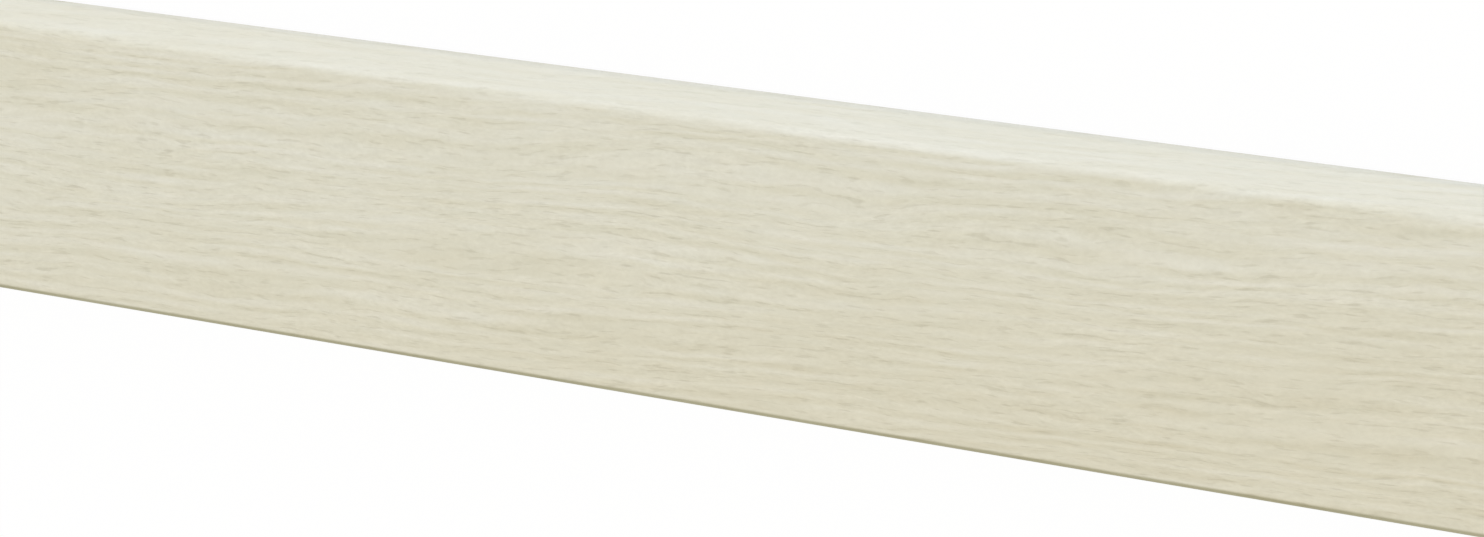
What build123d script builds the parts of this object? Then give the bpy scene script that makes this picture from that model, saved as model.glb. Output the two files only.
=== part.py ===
# A square-topped skirting board of wrapped fibreboard, lying on its back with its face up.
# It runs along X, its top edge points to +Y and its face to +Z, and the origin is the middle of its back.
from build123d import *
import os

# The stock, in mm.
LENGTH = 2400.0  # as sold, before it is cut to the room
HEIGHT = 60.0  # from the floor to the top edge, once it is on the wall
THICKNESS = 14.0  # from the wall to the face

# Foil is wrapped round three of the corners that run along the board, so they are rounds and not sharp.
# The fourth, at the foot of the back, is as square as the saw left it.
FACE_TOP_RADIUS = 1.5  # between the face and the top edge, the round that the eye meets
FACE_FOOT_RADIUS = 1.5  # between the face and the edge that stands on the floor
BACK_TOP_RADIUS = 1.0  # between the top edge and the back, where the board meets the wall

# The board's end, as cut square across. Its x runs from foot to top, and its y from back to face.
foot = -HEIGHT / 2
top = HEIGHT / 2
with BuildPart() as skirting_board:
    with BuildSketch(Plane.YZ.offset(-LENGTH / 2)) as section:
        with BuildLine() as outline:
            # Square at the foot of the back, then up the back to the first round.
            back = Line((foot, 0), (top - BACK_TOP_RADIUS, 0))
            back_round = TangentArc(
                back @ 1, (top, BACK_TOP_RADIUS), tangent=back % 1
            )
            # Across the top edge, and over the round on to the face.
            top_edge = Line(back_round @ 1, (top, THICKNESS - FACE_TOP_RADIUS))
            face_round = TangentArc(
                top_edge @ 1, (top - FACE_TOP_RADIUS, THICKNESS), tangent=top_edge % 1
            )
            # Down the flat face, round its foot, and back under the board.
            face = Line(face_round @ 1, (foot + FACE_FOOT_RADIUS, THICKNESS))
            foot_round = TangentArc(
                face @ 1, (foot, THICKNESS - FACE_FOOT_RADIUS), tangent=face % 1
            )
            Line(foot_round @ 1, back @ 0)
        make_face()
    extrude(amount=LENGTH)
skirting_board.part.label = "skirting_board"

os.makedirs("parts", exist_ok=True)
export_step(skirting_board.part, "parts/skirting_board.step")
print("skirting_board:", round(skirting_board.part.volume), "mm3")
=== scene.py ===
# %% [markdown]
# # A skirting board wrapped in limed-oak foil
# A skirting board is the strip that covers the joint between a wall and a floor. This one is a plain modern
# moulding: a strip of fibreboard with a square top, and a printed foil that a machine presses round it. The
# strip is 60 mm high and 14 mm thick, and it lies on its back, as it would on a shelf, with its face up.
#
# The solid model comes first, as a fixed frame in metres. Everything below is measured from its box, so the
# board that is dressed here is exactly as large as the one that was drawn.

# %% Load the solid board as the frame
import bmesh
import bpy
import math
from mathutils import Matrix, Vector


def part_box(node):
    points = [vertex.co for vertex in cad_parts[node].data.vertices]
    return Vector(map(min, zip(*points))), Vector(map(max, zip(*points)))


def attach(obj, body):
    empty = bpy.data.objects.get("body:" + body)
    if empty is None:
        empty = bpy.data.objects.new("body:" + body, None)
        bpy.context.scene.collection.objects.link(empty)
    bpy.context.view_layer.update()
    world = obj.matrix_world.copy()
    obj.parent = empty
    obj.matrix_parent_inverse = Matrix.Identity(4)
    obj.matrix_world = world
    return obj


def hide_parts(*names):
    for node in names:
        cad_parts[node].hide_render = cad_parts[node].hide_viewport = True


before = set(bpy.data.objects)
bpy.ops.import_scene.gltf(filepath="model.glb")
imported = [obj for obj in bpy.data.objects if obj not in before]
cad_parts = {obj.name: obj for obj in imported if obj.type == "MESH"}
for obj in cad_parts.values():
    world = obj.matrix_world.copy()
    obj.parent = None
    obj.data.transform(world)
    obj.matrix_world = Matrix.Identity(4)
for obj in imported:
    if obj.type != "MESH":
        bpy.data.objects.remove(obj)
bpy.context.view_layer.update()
low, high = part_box("skirting_board")
MM = 0.001
length, height, thickness = high - low
print("board, mm:", [round(side / MM, 1) for side in (length, height, thickness)])

# %% [markdown]
# ## The camera
# The eye looks down on the board from the side of its top edge, about 40 cm away, with a normal lens. The
# top of the picture is the board's top edge, as it would be on a wall. The camera could be aimed at an empty
# with a constraint. But a camera that isn't turned at all looks straight down, so two turns do the same and
# stay easy to read: it is tipped towards the foot of the board, and swung to the left.

# %% Place the camera
FRAME_WIDTH, FOCAL_LENGTH = 1484, 2200  # the picture's width and the lens's focal length, in pixels
SENSOR_WIDTH = 36.0  # mm
TIP, SWING = 29.111, 17.267  # degrees
EYE_ABOVE_FACE = 327.2 * MM
EYE_ABOVE_FOOT = 222.0 * MM
EYE_ALONG = 102.0 * MM  # so that the middle of the picture falls near the middle of the board

bpy.ops.object.camera_add(
    location=(EYE_ALONG, low.y + EYE_ABOVE_FOOT, high.z + EYE_ABOVE_FACE),
    rotation=(math.radians(-TIP), math.radians(SWING), 0),
)
camera = bpy.context.object
camera.data.sensor_width = SENSOR_WIDTH
camera.data.lens = SENSOR_WIDTH * FOCAL_LENGTH / FRAME_WIDTH
camera.data.clip_start = 10 * MM
bpy.context.scene.camera = camera
to_face = EYE_ABOVE_FACE / math.cos(math.radians(TIP)) / math.cos(math.radians(SWING))
print("lens, mm:", round(camera.data.lens, 1), "from the eye to the face, mm:", round(to_face / MM))

# %% [markdown]
# ## Selecting by place
# In Blender's window a corner is picked with the mouse. A script could pick it by its number, but every cut
# changes the numbers. So it is picked by where it is: this helper takes a question about each edge, face or
# point, and selects those that answer yes.

# %% A helper that selects by place
SELECT_MODES = {"verts": "VERT", "edges": "EDGE", "faces": "FACE"}
NEAR = 0.01 * MM


def choose(kind, test):
    """Selects, in edit mode, only what passes the test, and returns how many there are."""
    bpy.ops.mesh.select_mode(type=SELECT_MODES[kind])
    bpy.ops.mesh.select_all(action="DESELECT")
    mesh = bpy.context.object.data
    chosen = [item for item in getattr(bmesh.from_edit_mesh(mesh), kind) if test(item)]
    for item in chosen:
        item.select_set(True)
    bmesh.update_edit_mesh(mesh)
    return len(chosen)


print("places are told apart to within mm:", round(NEAR / MM, 2))

# %% [markdown]
# ## The strip and its rounded corners
# The fibreboard is planed to its section before it is wrapped. Foil can't turn a knife edge without
# cracking, so each corner that it goes round is eased: more at the two that border the face, which are what
# the eye meets, and less at the back of the top edge, where the board meets the wall.
#
# The section could be drawn and pushed along the board. A block whose edges are bevelled in many steps gives
# the same rounds, and each of them stays one number that is easy to change.


# %% Shape the strip
def lies_along(edge, y, z):
    """True for an edge that runs the length of the board at this height and depth."""
    return all(abs(end.co.y - y) < NEAR and abs(end.co.z - z) < NEAR for end in edge.verts)


FACE_TOP_RADIUS, FACE_FOOT_RADIUS, BACK_TOP_RADIUS = 1.5 * MM, 1.5 * MM, 1.0 * MM
ROUND_STEPS = 12

bpy.ops.object.select_all(action="DESELECT")
bpy.ops.mesh.primitive_cube_add(size=1, location=(low + high) / 2, scale=high - low)
board = bpy.context.object
board.name = "wrapped_board"
bpy.ops.object.transform_apply(location=True, rotation=True, scale=True)
bpy.ops.object.mode_set(mode="EDIT")
for y, z, radius in (
    (high.y, high.z, FACE_TOP_RADIUS),
    (low.y, high.z, FACE_FOOT_RADIUS),
    (high.y, low.z, BACK_TOP_RADIUS),
):
    found = choose("edges", lambda edge: lies_along(edge, y, z))
    bpy.ops.mesh.bevel(offset=radius, segments=ROUND_STEPS, affect="EDGES")
    print("rounded", found, "corner to", round(radius / MM, 1), "mm")

# %% [markdown]
# ## Where the foil ends
# The foil isn't wrapped all the way round. It turns over the top edge and ends on the back, and at the foot
# it turns under the board and ends short of the back corner. The bare fibreboard between the two is lower by
# the foil's thickness.
#
# The foil could be a thin shell of its own. But it is glued down for good, and two surfaces so close
# together only cause trouble, so it stays part of the strip. The hidden sides are cut twice beside each
# lap, and the bare side of the cut is pushed in, which leaves a small step: the edge of the foil.

# %% Cut the laps of the foil
FOIL = 0.2 * MM
BACK_LAP = 9.0 * MM  # how far the foil comes down the back
FOOT_LAP = 10.0 * MM  # how far it goes in under the foot
SQUARE_ON = 0.99  # how much of a face's normal has to point the asked way
back_lap_end = high.y - BACK_LAP
foot_lap_end = high.z - FOOT_LAP

for step in (0, FOIL):
    choose("faces", lambda face: face.normal.z < -SQUARE_ON)
    bpy.ops.mesh.bisect(plane_co=(0, back_lap_end - step, 0), plane_no=(0, 1, 0))
    choose("faces", lambda face: face.normal.y < -SQUARE_ON)
    bpy.ops.mesh.bisect(plane_co=(0, 0, foot_lap_end - step), plane_no=(0, 0, 1))
print("faces, once the laps are cut:", len(bmesh.from_edit_mesh(board.data).faces))


# %% Push the bare sides in
def on_bare_back(point):
    return point.co.z < low.z + NEAR and point.co.y < back_lap_end - FOIL + NEAR


def on_bare_foot(point):
    return point.co.y < low.y + NEAR and point.co.z < foot_lap_end - FOIL + NEAR


found = choose("verts", on_bare_foot)
bpy.ops.transform.translate(value=(0, FOIL, 0))
print("foot:", found, "points pushed in, bare for mm:", round((foot_lap_end - low.z) / MM, 1))
found = choose("verts", on_bare_back)
bpy.ops.transform.translate(value=(0, 0, FOIL))
print("back:", found, "points pushed in, bare for mm:", round((back_lap_end - low.y) / MM, 1))

# %% [markdown]
# ## Sawn ends, and rings along the length
# A saw cuts the board square. On its end the foil shows as a hair-thin line round the fibreboard. A texture
# could paint that line, but an inset of the end face draws it in the mesh, as wide as the foil is thick.
#
# Then the long edges are divided, because faces 2.4 m long and a fraction of a millimetre wide shade badly
# and are hard to bake. A loop cut in the window does the same as Subdivide does here.

# %% Inset the ends and divide the length
RING_SPACING = 50 * MM


def is_end(face):
    return abs(face.normal.x) > SQUARE_ON


print("ends:", choose("faces", is_end))
bpy.ops.mesh.inset(thickness=FOIL)
found = choose("edges", lambda edge: abs(edge.verts[0].co.x - edge.verts[1].co.x) > length / 2)
bpy.ops.mesh.subdivide(number_cuts=round(length / RING_SPACING) - 1)
bpy.ops.object.mode_set(mode="OBJECT")
print("long edges divided:", found, "faces:", len(board.data.polygons))

# %% [markdown]
# ## Smooth corners, flat sides
# Smooth shading makes the many steps of a corner one round. On its own it would also bend the light
# across the flat sides. Extra rows of faces beside each corner would stop that. The Weighted Normal
# modifier does it without them: it lets the large faces decide, and they stay flat.

# %% Shade the strip
SMOOTH_UP_TO = 20  # degrees between two faces, and past that the edge stays sharp

bpy.ops.object.shade_smooth_by_angle(angle=math.radians(SMOOTH_UP_TO))
weighted = board.modifiers.new("flat_sides", "WEIGHTED_NORMAL")
weighted.keep_sharp = True
bpy.ops.object.modifier_apply(modifier=weighted.name)
print("sharp edges:", sum(edge.use_edge_sharp for edge in board.data.edges))

# %% [markdown]
# ## Helpers for materials
# Colours are written as the hex codes of a paint chart, which are sRGB, and Blender calculates in linear
# light, so one function turns them. Each node could be added, set and linked in lines of its own, but that
# hides the pattern behind the work. So another function adds a node, with its settings and its links.


# %% Helpers for colours and nodes
def linear(code):
    """Turns a hex colour such as D9D4C0 into linear red, green, blue and alpha."""
    shares = [int(code[i : i + 2], 16) / 255 for i in (0, 2, 4)]
    return [c / 12.92 if c <= 0.04045 else ((c + 0.055) / 1.055) ** 2.4 for c in shares] + [1]


def add(tree, kind, inputs, stops=(), **settings):
    """Adds a node, gives it its settings and the stops of its colour ramp, and sets or links its inputs."""
    made = tree.nodes.new("ShaderNode" + kind)
    for name, value in settings.items():
        setattr(made, name, value)
    for number, (position, code) in enumerate(stops):
        if number > 1:  # a new ramp has two stops
            made.color_ramp.elements.new(position)
        made.color_ramp.elements[number].position = position
        made.color_ramp.elements[number].color = linear(code)
    for name, value in inputs.items():
        if isinstance(value, bpy.types.NodeSocket):
            tree.links.new(value, made.inputs[name])
        else:
            made.inputs[name].default_value = value
    return made


print("a middle grey, 808080, in linear light:", round(linear("808080")[0], 3))

# %% [markdown]
# ## The limed-oak foil
# The face isn't wood. It is a thin paper or plastic film, printed with a photograph of limed oak and sealed
# with a matt lacquer, and a roller has pressed shallow pores into it. To the eye that is a pale, warm
# grey-white with low contrast: short olive dashes where the pores are, paler limed bands between them, and
# slow drifts of pink and green in the ground colour.
#
# A picture of oak could be laid over the board, but along 2.4 m it would repeat or blur. A pattern that is
# worked out from noise does neither, so all of the print is built from nodes, each mark at its real size.


# %% Start the foil's material
def new_material(name, **shader_inputs):
    """Makes a material, and returns it with its node tree and its main shader."""
    material = bpy.data.materials.new(name)
    material.use_nodes = True
    shader = material.node_tree.nodes["Principled BSDF"]
    for socket, value in shader_inputs.items():
        shader.inputs[socket].default_value = value
    return material, material.node_tree, shader


foil, tree, shader = new_material("matt_printed_foil")
print("material:", foil.name)

# %% [markdown]
# ## Unrolling the foil
# The foil bends round the corners, and so does its print. A UV map would lay it out flat, but here a sum is
# enough: the depth below the face is added to the height, which unrolls the section on to one flat strip.


# %% Unroll the foil
def in_millimetres(tree):
    """Each point's place on the board, in mm."""
    spot = add(tree, "TexCoord", {}).outputs["Object"]
    return add(tree, "VectorMath", {0: spot, "Scale": 1 / MM}, operation="SCALE").outputs[0]


def unroll(tree):
    """The place on the flat foil: how far along the board, and how far across from its middle line."""
    along, across, depth = add(tree, "SeparateXYZ", {0: in_millimetres(tree)}).outputs
    side = add(tree, "Math", {0: across}, operation="SIGN").outputs[0]
    depth = add(tree, "Math", {0: thickness / MM, 1: depth}, operation="SUBTRACT").outputs[0]
    across = add(tree, "Math", {0: side, 1: depth, 2: across}, operation="MULTIPLY_ADD").outputs[0]
    return along, across


along, across = unroll(tree)
print("face and both edges, unrolled, mm:", round((height + 2 * thickness) / MM))

# %% [markdown]
# ## Following the grain
# The grain of the printed plank isn't quite in line with the board, and it bends and kinks a little, as
# grain does. The whole pattern could be turned, but on so long a board it would then climb off the edge. So
# it drifts to one side and back as it goes along, and noise of three sizes bends it on its way.

# %% Follow the grain
DRIFT_REACH = 15.2  # mm that the grain swings to each side
DRIFT_PERIOD = 1640.0  # mm
BENDS = (  # how long and how wide they are in mm, their seeds, and how far they reach in mm
    (110, 20, 3, 9.5),  # slow bends
    (34, 11, 13, 3.1),  # shorter ones
    (9, 3, 17, 1.2),  # kinks
)


def layer(tree, place, long, wide, seed, detail=1.0):
    """A noise whose blots are about this long and this wide, in mm. More detail adds finer ones to them."""
    stretched = add(
        tree,
        "Mapping",
        {"Vector": place, "Location": (seed, -seed, seed), "Scale": (1 / long, 1 / wide, 1 / wide)},
    )
    noise = add(tree, "TexNoise", {"Vector": stretched.outputs[0], "Scale": 1, "Detail": detail})
    return noise.outputs["Fac"]


def follow_grain(tree, along, across):
    """The place on the printed plank, with its drift, its slow bends and its small kinks."""
    turn = add(tree, "Math", {0: along, 1: 2 * math.pi / DRIFT_PERIOD}, operation="MULTIPLY")
    swing = add(tree, "Math", {0: turn.outputs[0]}, operation="SINE").outputs[0]
    across = add(tree, "Math", {0: swing, 1: -DRIFT_REACH, 2: across}, operation="MULTIPLY_ADD").outputs[0]
    straight = add(tree, "CombineXYZ", {"X": along, "Y": across}).outputs[0]
    for long, wide, seed, reach in BENDS:
        bend = layer(tree, straight, long, wide, seed)
        across = add(tree, "Math", {0: bend, 1: reach, 2: across}, operation="MULTIPLY_ADD").outputs[0]
    return add(tree, "CombineXYZ", {"X": along, "Y": across}).outputs[0]


place = follow_grain(tree, along, across)
steepest = math.degrees(math.atan(2 * math.pi * DRIFT_REACH / DRIFT_PERIOD))
print("steepest climb of the grain, at the middle of the board, degrees:", round(steepest, 1))

# %% [markdown]
# ## The plank's slow wave
# A plank is never the same colour all along. Noise could vary it, but over so long a piece one slow wave
# is enough, and it is easy to place: it makes the print a little warmer and darker here, and cooler and
# paler there.

# %% Print the plank's slow wave
PLANK_WAVE = 1300.0  # mm
PLANK_SLANT = -0.045  # radians for each mm across

plank = add(
    tree,
    "VectorMath",
    {0: place, 1: (2 * math.pi / PLANK_WAVE, PLANK_SLANT, 0)},
    operation="DOT_PRODUCT",
).outputs["Value"]
plank = add(tree, "Math", {0: plank}, operation="SINE").outputs[0]
print("waves along the board:", round(length / MM / PLANK_WAVE, 1))

# %% [markdown]
# ## Rings, streaks and clouds
# The print is built up in layers, each as long and as wide as its mark is on real oak, in millimetres. The
# soft ones are growth rings about 3 mm apart, streaks between them, and broad clouds. Together they are one
# value, the tone, which a colour ramp later turns from olive through beige to a cool white.
#
# A Wave texture would give rings too, but they would run on unbroken. Here an even wave gets an uneven
# phase, and its strength comes and goes: a ring shows plainly here and hardly there, which breaks its row
# into short pieces.

# %% Print the rings
RING_WIDTH = 3.4  # mm
RING_WANDER = (90, 8, 5)  # how long and how wide its stretches are in mm, and its seed
RING_WANDER_REACH = 15.0  # radians of the wave
RING_STRETCH = (18, 3, 7)  # the same three numbers for the stretches in which a ring shows
RING_GONE, RING_PLAIN = 0.35, 0.65  # where in that noise a ring is gone, and where it is strongest

rows = add(tree, "SeparateXYZ", {0: place}).outputs["Y"]
phase = add(tree, "Math", {0: rows, 1: 2 * math.pi / RING_WIDTH}, operation="MULTIPLY").outputs[0]
wander = layer(tree, place, *RING_WANDER)
phase = add(tree, "Math", {0: wander, 1: RING_WANDER_REACH, 2: phase}, operation="MULTIPLY_ADD").outputs[0]
wave = add(tree, "Math", {0: phase}, operation="SINE").outputs[0]
vigour = layer(tree, place, *RING_STRETCH, detail=2)
vigour = add(tree, "MapRange", {"Value": vigour, "From Min": RING_GONE, "From Max": RING_PLAIN}).outputs[0]
rings = add(tree, "Math", {0: wave, 1: vigour}, operation="MULTIPLY").outputs[0]
print("rings across the face, about:", round(height / MM / RING_WIDTH))


# %% Gather the tone
def blend(tree, tone, pattern, weight):
    """Adds a layer to the tone, about its own middle."""
    offset = add(tree, "Math", {0: pattern, 1: 0.5}, operation="SUBTRACT").outputs[0]
    return add(tree, "Math", {0: offset, 1: weight, 2: tone}, operation="MULTIPLY_ADD").outputs[0]


MIDDLE_TONE = 0.5
RING_WEIGHT = 0.062
PLANK_WEIGHT = -0.042
SOFT_LAYERS = (  # how long and how wide they are in mm, their seeds and their weights
    (42, 1.8, 23, 0.21),  # streaks
    (45, 10, 41, 0.13),  # clouds
)

tone = add(tree, "Math", {0: rings, 1: RING_WEIGHT, 2: MIDDLE_TONE}, operation="MULTIPLY_ADD").outputs[0]
tone = add(tree, "Math", {0: plank, 1: PLANK_WEIGHT, 2: tone}, operation="MULTIPLY_ADD").outputs[0]
for long, wide, seed, weight in SOFT_LAYERS:
    tone = blend(tree, tone, layer(tree, place, long, wide, seed, detail=2), weight)
print("nodes so far:", len(tree.nodes))

# %% [markdown]
# ## Fibres and pores
# The sharp marks are short fibres and pores, and they come in fainter and stronger patches. Each pore could
# be a dot of a Voronoi texture, but those are all alike. A stretched noise of which only the lowest part is
# kept gives dashes of every length, some of them joined, as on oak.

# %% Print the fibres
FIBRES = (  # how long and how wide they are in mm, their seeds and their weights
    (4.2, 1.15, 31, 0.19),  # bundles of fibres
    (1.1, 0.55, 37, 0.17),  # single fibres
)

marks = 0.0
for long, wide, seed, weight in FIBRES:
    marks = blend(tree, marks, layer(tree, place, long, wide, seed, detail=4), weight)
print("layers of fibres:", len(FIBRES))

# %% Print the pores
PORE = (4.5, 0.68, 61)  # how long and how wide it is in mm, and its seed
PORE_SHARE = 0.41  # how low the noise has to be for a pore to start
PORE_EDGE = 0.12  # how much lower it is where the pore is at its darkest
PORE_DARKNESS = 0.09
PORES_IN_ROWS = 0.06  # how strongly the pores keep to the dark side of a ring

pores = layer(tree, place, *PORE)
pores = add(tree, "Math", {0: rings, 1: PORES_IN_ROWS, 2: pores}, operation="MULTIPLY_ADD").outputs[0]
pores = add(
    tree,
    "MapRange",
    {"Value": pores, "From Min": PORE_SHARE, "From Max": PORE_SHARE - PORE_EDGE},
).outputs[0]
marks = add(tree, "Math", {0: pores, 1: -PORE_DARKNESS, 2: marks}, operation="MULTIPLY_ADD").outputs[0]
print("pores, mm long and wide:", PORE[:2])

# %% Gather the marks in patches
PATCH = (28, 9, 53)  # how long and how wide it is in mm, and its seed
PATCH_FAINT, PATCH_STRONG = 0.7, 1.3
PATCH_LOW, PATCH_HIGH = 0.3, 0.7  # where in that noise the marks are faintest and strongest

patches = add(
    tree,
    "MapRange",
    {
        "Value": layer(tree, place, *PATCH),
        "From Min": PATCH_LOW,
        "From Max": PATCH_HIGH,
        "To Min": PATCH_FAINT,
        "To Max": PATCH_STRONG,
    },
).outputs[0]
marks = add(tree, "Math", {0: marks, 1: patches}, operation="MULTIPLY").outputs[0]
print("nodes so far:", len(tree.nodes))

# %% [markdown]
# ## Plainer edges
# On the top edge of the board the print is much plainer than on the face. The edge could have a material of
# its own, but the print would then break off at the corner. So both the tone and the marks are drawn back
# towards their middle there, by about half, and the change is spread over the round.

# %% Calm the print on the edges
EDGE_SHARE = 0.55  # how much of the grain's contrast is left on the edges

from_middle = add(tree, "Math", {0: across}, operation="ABSOLUTE").outputs[0]
contrast = add(
    tree,
    "MapRange",
    {
        "Value": from_middle,
        "From Min": height / 2 / MM - FACE_TOP_RADIUS / MM,
        "From Max": height / 2 / MM + FACE_TOP_RADIUS / MM,
        "To Min": 1.0,
        "To Max": EDGE_SHARE,
    },
    interpolation_type="SMOOTHSTEP",
).outputs[0]
tone = add(tree, "Math", {0: tone, 1: MIDDLE_TONE}, operation="SUBTRACT").outputs[0]
tone = add(tree, "Math", {0: tone, 1: contrast, 2: MIDDLE_TONE}, operation="MULTIPLY_ADD").outputs[0]
marks = add(tree, "Math", {0: marks, 1: contrast}, operation="MULTIPLY").outputs[0]
print("plain from this far across, mm:", round((height / 2 + FACE_TOP_RADIUS) / MM, 1))

# %% [markdown]
# ## The inks
# One colour ramp could turn the tone into the ground colour. But on the print the same brightness is
# greener in one place and pinker in the next, so there are two ramps, and small blots choose between them,
# helped by the plank's slow wave.
#
# The marks could be mixed in as a brown. They are multiplied instead, because ink takes light away from
# what is under it, and they take a little more of the blue than of the red, so they look olive.

# %% Ink the foil
MIX_A, MIX_B, MIX_RESULT = 6, 7, 2  # where a Mix node keeps its colours, among its sockets of other types
BLOT = (8, 2.5, 71)  # how long and how wide it is in mm, and its seed
WARMTH_OF_BLOTS = 0.6
WARMTH_OF_WAVE = 0.22
MARK_TINT = (0.95, 1.0, 1.12)

cool = add(tree, "ValToRGB", {"Fac": tone}, stops=((0, "ADAA88"), (0.5, "D7D7C8"), (1, "F0F5F8")))
warm = add(tree, "ValToRGB", {"Fac": tone}, stops=((0, "B5A982"), (0.5, "DBD7C4"), (1, "F6F5F1")))
warmth = add(tree, "Math", {0: plank, 1: WARMTH_OF_WAVE, 2: 0.5}, operation="MULTIPLY_ADD").outputs[0]
warmth = blend(tree, warmth, layer(tree, place, *BLOT, detail=2), WARMTH_OF_BLOTS)
ground = add(
    tree,
    "Mix",
    {"Factor": warmth, MIX_A: cool.outputs[0], MIX_B: warm.outputs[0]},
    data_type="RGBA",
).outputs[MIX_RESULT]
ink = add(tree, "VectorMath", {0: marks, 1: MARK_TINT, 2: (1, 1, 1)}, operation="MULTIPLY_ADD").outputs[0]
ground = add(tree, "VectorMath", {0: ground, 1: ink}, operation="MULTIPLY").outputs[0]
print("blots, mm long and wide:", BLOT[:2])

# %% [markdown]
# ## Painted shade on two corners
# The foil's colour is darkened along two corners to stand in for the shade there. This is painted shade, not
# a mark of the print. At the foot of the face it is a fine olive line along the board. Behind the top edge,
# where the board meets the wall, it is only a faint painted shade. Vertex colours could carry both, but a
# line drawn by its place on the unrolled foil stays sharp however near the eye comes.

# %% Paint shade on the foil at two corners
ON_FOOT = -height / 2 / MM + 0.25  # places on the unrolled foil, in mm
ON_BACK = (height / 2 + thickness) / MM
PAINTED_SHADE_LINES = (  # the middle, half the width and the fade beside it in mm, and the shade
    (ON_FOOT, 0.8, 0.75, "C6C5B4"),
    (ON_BACK, 1.5, 2.0, "F8F9FC"),
)

# each line multiplies the foil's colour by its shade colour: painted shade along the corner
for middle, half_width, fade, shade in PAINTED_SHADE_LINES:
    off_line = add(tree, "Math", {0: across, 1: middle}, operation="SUBTRACT").outputs[0]
    off_line = add(tree, "Math", {0: off_line}, operation="ABSOLUTE").outputs[0]
    painted_shade = add(
        tree,
        "MapRange",
        {"Value": off_line, "From Min": half_width + fade, "From Max": half_width},
        interpolation_type="SMOOTHSTEP",
    ).outputs[0]
    ground = add(
        tree,
        "Mix",
        {"Factor": painted_shade, MIX_A: ground, MIX_B: linear(shade)},
        data_type="RGBA",
        blend_type="MULTIPLY",
    ).outputs[MIX_RESULT]
    print("dark line at mm:", round(middle, 2), "with its fades this wide:", 2 * (half_width + fade))
tree.links.new(ground, shader.inputs["Base Color"])

# %% [markdown]
# ## Lacquer and embossing
# The lacquer is matt but not chalky, and it is a little duller in the pores. It keeps the shader's IOR of
# 1.5, which is that of a clear lacquer. The roller has pressed each pore a few hundredths of a millimetre
# deep. That could be displaced in the mesh, but it would take millions of faces and hardly show, so it is
# a bump.

# %% Emboss the pores
PORE_DEPTH = 0.03 * MM
LACQUER_ROUGHNESS, PORE_ROUGHNESS = 0.6, 0.7

dull = add(tree, "MapRange", {"Value": pores, "To Min": LACQUER_ROUGHNESS, "To Max": PORE_ROUGHNESS})
tree.links.new(dull.outputs[0], shader.inputs["Roughness"])
sunk = add(tree, "Bump", {"Height": pores, "Distance": PORE_DEPTH, "Strength": 1.0}, invert=True)
tree.links.new(sunk.outputs[0], shader.inputs["Normal"])
print(foil.name, "nodes:", len(tree.nodes))

# %% [markdown]
# ## Bare fibreboard
# Medium density fibreboard is wood ground to a flour of fibres and pressed with glue. A wide belt has sanded
# the back and the foot, which leaves an even tan, with felted fibres in all directions and faint scratches
# along the board. Nothing seals it, so it is quite dull. Hair strands could stand for the fibres, but they
# are pressed flat, so noise as long and as wide as they are is enough, with a slight bump.

# %% Make the sanded fibreboard
FELT = (  # how long and how wide the marks are in mm, their seeds and their weights
    (1.2, 0.5, 83, 0.5),  # fibres along the board
    (0.4, 0.9, 89, 0.4),  # fibres across it
    (60, 0.3, 97, 0.35),  # scratches of the belt
    (9, 7, 101, 0.35),  # where more glue has gathered
)
FELT_DEPTH = 0.05 * MM

sanded, tree, shader = new_material("sanded_fibreboard", Roughness=0.85)
place = in_millimetres(tree)
tone = MIDDLE_TONE
for long, wide, seed, weight in FELT:
    tone = blend(tree, tone, layer(tree, place, long, wide, seed), weight)
tan = add(tree, "ValToRGB", {"Fac": tone}, stops=((0.2, "9C7F5C"), (0.5, "BA9B74"), (0.8, "D0B48E")))
tree.links.new(tan.outputs["Color"], shader.inputs["Base Color"])
felt = add(tree, "Bump", {"Height": tone, "Distance": FELT_DEPTH, "Strength": 1.0})
tree.links.new(felt.outputs[0], shader.inputs["Normal"])
print(sanded.name, "nodes:", len(tree.nodes))

# %% [markdown]
# ## Sawn ends
# The press makes the two faces of the sheet denser than its middle, and dense board is darker. So a sawn end
# shows a dark band along each face and a paler, woollier core, with the upright marks of the saw's teeth.
# The bands could be faces of their own, but they have no edge. The distance from the middle of the sheet,
# raised to a power, darkens them gradually.

# %% Make the sawn fibreboard
CORE_TONE, SKIN_DARKENING = 0.62, 0.4
SKIN_POWER = 3.0  # a higher power keeps the dark bands nearer to the faces
WOOL, WOOL_WEIGHT = (1, 0.35, 103), 0.5  # how long and how wide it is in mm, and its seed
SAW_MARK, SAW_STROKE, SAW_WEIGHT = 0.8, 20.0, 0.35  # how wide and how long a mark is in mm
SAW_SEED = (3, 5, 7)
TORN_DEPTH = 0.12 * MM

sawn, tree, shader = new_material("sawn_fibreboard", Roughness=0.9)
place = in_millimetres(tree)
depth = add(tree, "SeparateXYZ", {0: place}).outputs["Z"]
off_centre = add(
    tree,
    "MapRange",
    {"Value": depth, "From Min": 0.0, "From Max": thickness / MM, "To Min": -1.0, "To Max": 1.0},
)
off_centre = add(tree, "Math", {0: off_centre.outputs[0]}, operation="ABSOLUTE").outputs[0]
skin = add(tree, "Math", {0: off_centre, 1: SKIN_POWER}, operation="POWER").outputs[0]
tone = add(tree, "Math", {0: skin, 1: -SKIN_DARKENING, 2: CORE_TONE}, operation="MULTIPLY_ADD").outputs[0]
tone = blend(tree, tone, layer(tree, place, *WOOL, detail=3), WOOL_WEIGHT)
strokes = add(
    tree, "Mapping", {"Vector": place, "Location": SAW_SEED, "Scale": (1, 1 / SAW_MARK, 1 / SAW_STROKE)}
)
strokes = add(tree, "TexNoise", {"Vector": strokes.outputs[0], "Scale": 1, "Detail": 1}).outputs["Fac"]
tone = blend(tree, tone, strokes, SAW_WEIGHT)
tan = add(tree, "ValToRGB", {"Fac": tone}, stops=((0.1, "755C3E"), (0.5, "B0916A"), (0.9, "D2B790")))
tree.links.new(tan.outputs["Color"], shader.inputs["Base Color"])
torn = add(tree, "Bump", {"Height": tone, "Distance": TORN_DEPTH, "Strength": 1.0})
tree.links.new(torn.outputs[0], shader.inputs["Normal"])
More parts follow.
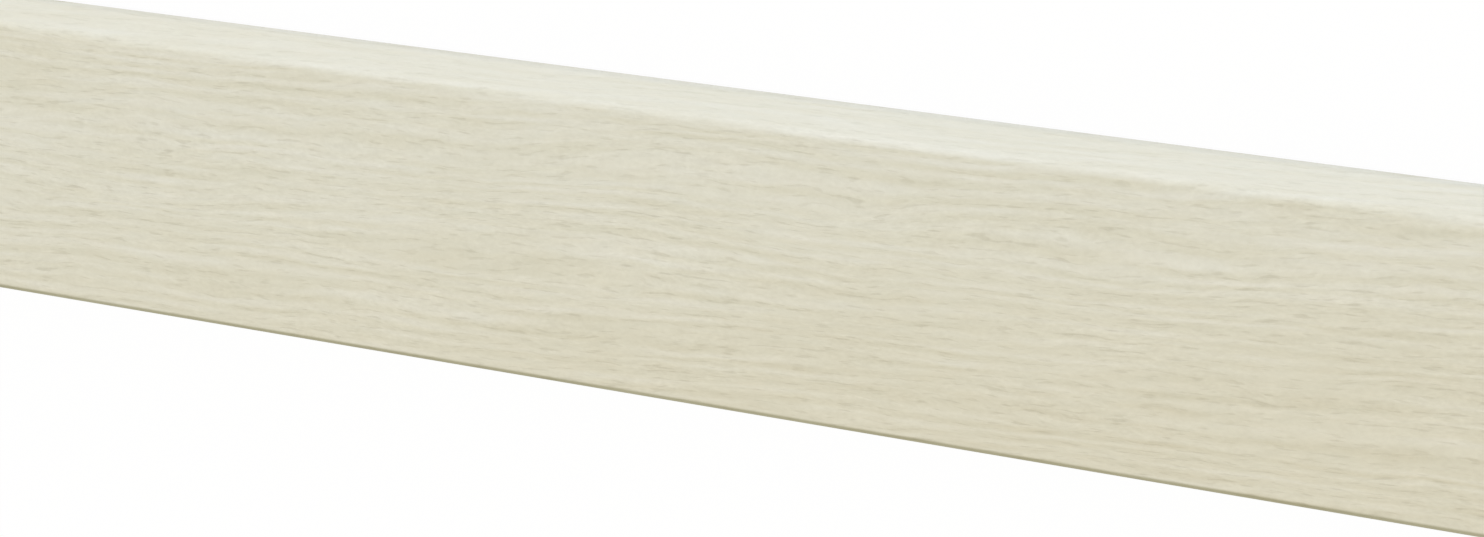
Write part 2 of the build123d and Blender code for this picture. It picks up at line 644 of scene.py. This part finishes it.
print(sawn.name, "nodes:", len(tree.nodes))

# %% [markdown]
# ## Dressing the board
# A board has its foil, its sanded sides and its sawn ends in one piece. One material could mix all three,
# but three slots on the mesh are easier to follow. Every face gets the foil, and then the bare faces are
# picked out by their place and by the way that they face. Of the hair-thin ring round each end, only what
# lies beside a bare side is fibreboard.


# %% Assign the materials
def beside_bare(face, reach):
    """True for a face that is on, or within this reach of, the bare back or the bare foot."""
    centre = face.calc_center_median()
    back = centre.z < low.z + reach and centre.y < back_lap_end
    foot = centre.y < low.y + reach and centre.z < foot_lap_end
    return back or foot


def is_sanded(face):
    return not is_end(face) and beside_bare(face, FOIL + NEAR)


def is_sawn(face):
    within_foil = face.calc_area() > height * thickness / 2
    return is_end(face) and (within_foil or beside_bare(face, 2 * FOIL))


for material in (foil, sanded, sawn):
    board.data.materials.append(material)
bpy.ops.object.mode_set(mode="EDIT")
for slot, is_bare in ((1, is_sanded), (2, is_sawn)):
    found = choose("faces", is_bare)
    board.active_material_index = slot
    bpy.ops.object.material_slot_assign()
    print(board.data.materials[slot].name, "faces:", found)
bpy.ops.object.mode_set(mode="OBJECT")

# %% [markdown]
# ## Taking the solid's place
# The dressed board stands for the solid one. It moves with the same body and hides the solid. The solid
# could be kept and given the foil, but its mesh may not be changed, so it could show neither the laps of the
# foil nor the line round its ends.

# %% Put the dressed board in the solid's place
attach(board, "root")
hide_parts("skirting_board")
print(board.name, "at:", list(board.location), "scale:", list(board.scale))

# %% [markdown]
# ## The floor
# The floor is a plain pale sheet, far wider than any view. A brighter lamp could make it white, but would
# bleach the board too. So its material tells two kinds of ray apart. To the light that reaches the board
# it is a matt sheet of paper. To the camera it is nearly as bright as white, and it keeps a little of the
# board's shadow.


# %% Lay the floor
def seen_directly(tree):
    """Is 1 where the eye sees a surface, also in gloss or through glass, and 0 where it only gives light."""
    rays = add(tree, "LightPath", {})
    seen = rays.outputs["Is Camera Ray"]
    for kind in ("Is Glossy Ray", "Is Transmission Ray"):
        seen = add(tree, "Math", {0: seen, 1: rays.outputs[kind]}, operation="MAXIMUM").outputs[0]
    return seen


WHITE = (1, 1, 1, 1)
FLOOR_SIZE = 60  # m
SHADOW_SHARE = 0.04  # how much of the floor's brightness the shadow can take away

bpy.ops.mesh.primitive_plane_add(size=FLOOR_SIZE, location=(0, 0, low.z))
floor = bpy.context.object
floor.name = "floor"
paper = bpy.data.materials.new("white_paper")
paper.use_nodes = True
tree = paper.node_tree
tree.nodes.clear()
matt = add(tree, "BsdfDiffuse", {"Color": linear("F2F2F0")})
bright = add(tree, "Emission", {"Color": WHITE, "Strength": 1})
shaded = add(tree, "BsdfDiffuse", {"Color": WHITE})
seen = add(tree, "MixShader", {"Fac": SHADOW_SHARE, 1: bright.outputs[0], 2: shaded.outputs[0]})
sheet = add(tree, "MixShader", {"Fac": seen_directly(tree), 1: matt.outputs[0], 2: seen.outputs[0]})
add(tree, "OutputMaterial", {"Surface": sheet.outputs[0]})
floor.data.materials.append(paper)
print("floor, m:", FLOOR_SIZE, "at a height of:", round(low.z, 4))

# %% [markdown]
# ## The lamp
# A long cool lamp stands low beyond the top edge. It lights that edge more than the face, so that the corner
# between them reads. A sun lamp would do it too, but hard light would draw a bright line along the corner,
# and this foil is matt. A wide lamp keeps it soft.

# %% Hang the lamp
LAMP_LENGTH, LAMP_WIDTH = 4.0, 0.25  # m
LAMP_DISTANCE = 0.8  # m
LAMP_HEIGHT_ANGLE = math.radians(10)
LAMP_POWER = 6.7  # W

bpy.ops.object.light_add(
    type="AREA",
    location=(0, LAMP_DISTANCE * math.cos(LAMP_HEIGHT_ANGLE), LAMP_DISTANCE * math.sin(LAMP_HEIGHT_ANGLE)),
    rotation=(LAMP_HEIGHT_ANGLE - math.pi / 2, 0, 0),
)
lamp = bpy.context.object
lamp.data.shape = "RECTANGLE"
lamp.data.size, lamp.data.size_y = LAMP_LENGTH, LAMP_WIDTH
lamp.data.energy = LAMP_POWER
lamp.data.color = linear("D3DEFF")[:3]
lamp.visible_camera = False
print("lamp, m from the board:", LAMP_DISTANCE, "watts:", LAMP_POWER)

# %% [markdown]
# ## The pale surround
# Most of the light comes from all sides at once, as in a white tent. Many large lamps could give it, but the
# world does it with one colour and no edges. Like the floor, it looks white to the camera and lights the
# board with its own, slightly warmer colour.

# %% Surround the board with a pale sky
SKY_STRENGTH = 0.961

world = bpy.data.worlds.new("pale_surround")
bpy.context.scene.world = world
world.use_nodes = True
tree = world.node_tree
tree.nodes.clear()
sky = add(tree, "Background", {"Color": linear("FFFBF3"), "Strength": SKY_STRENGTH})
backdrop = add(tree, "Background", {"Color": WHITE, "Strength": 1})
both = add(tree, "MixShader", {"Fac": seen_directly(tree), 1: sky.outputs[0], 2: backdrop.outputs[0]})
add(tree, "OutputWorld", {"Surface": both.outputs[0]})
bpy.context.scene.view_settings.view_transform = "Standard"
print("world:", world.name, "strength:", SKY_STRENGTH)
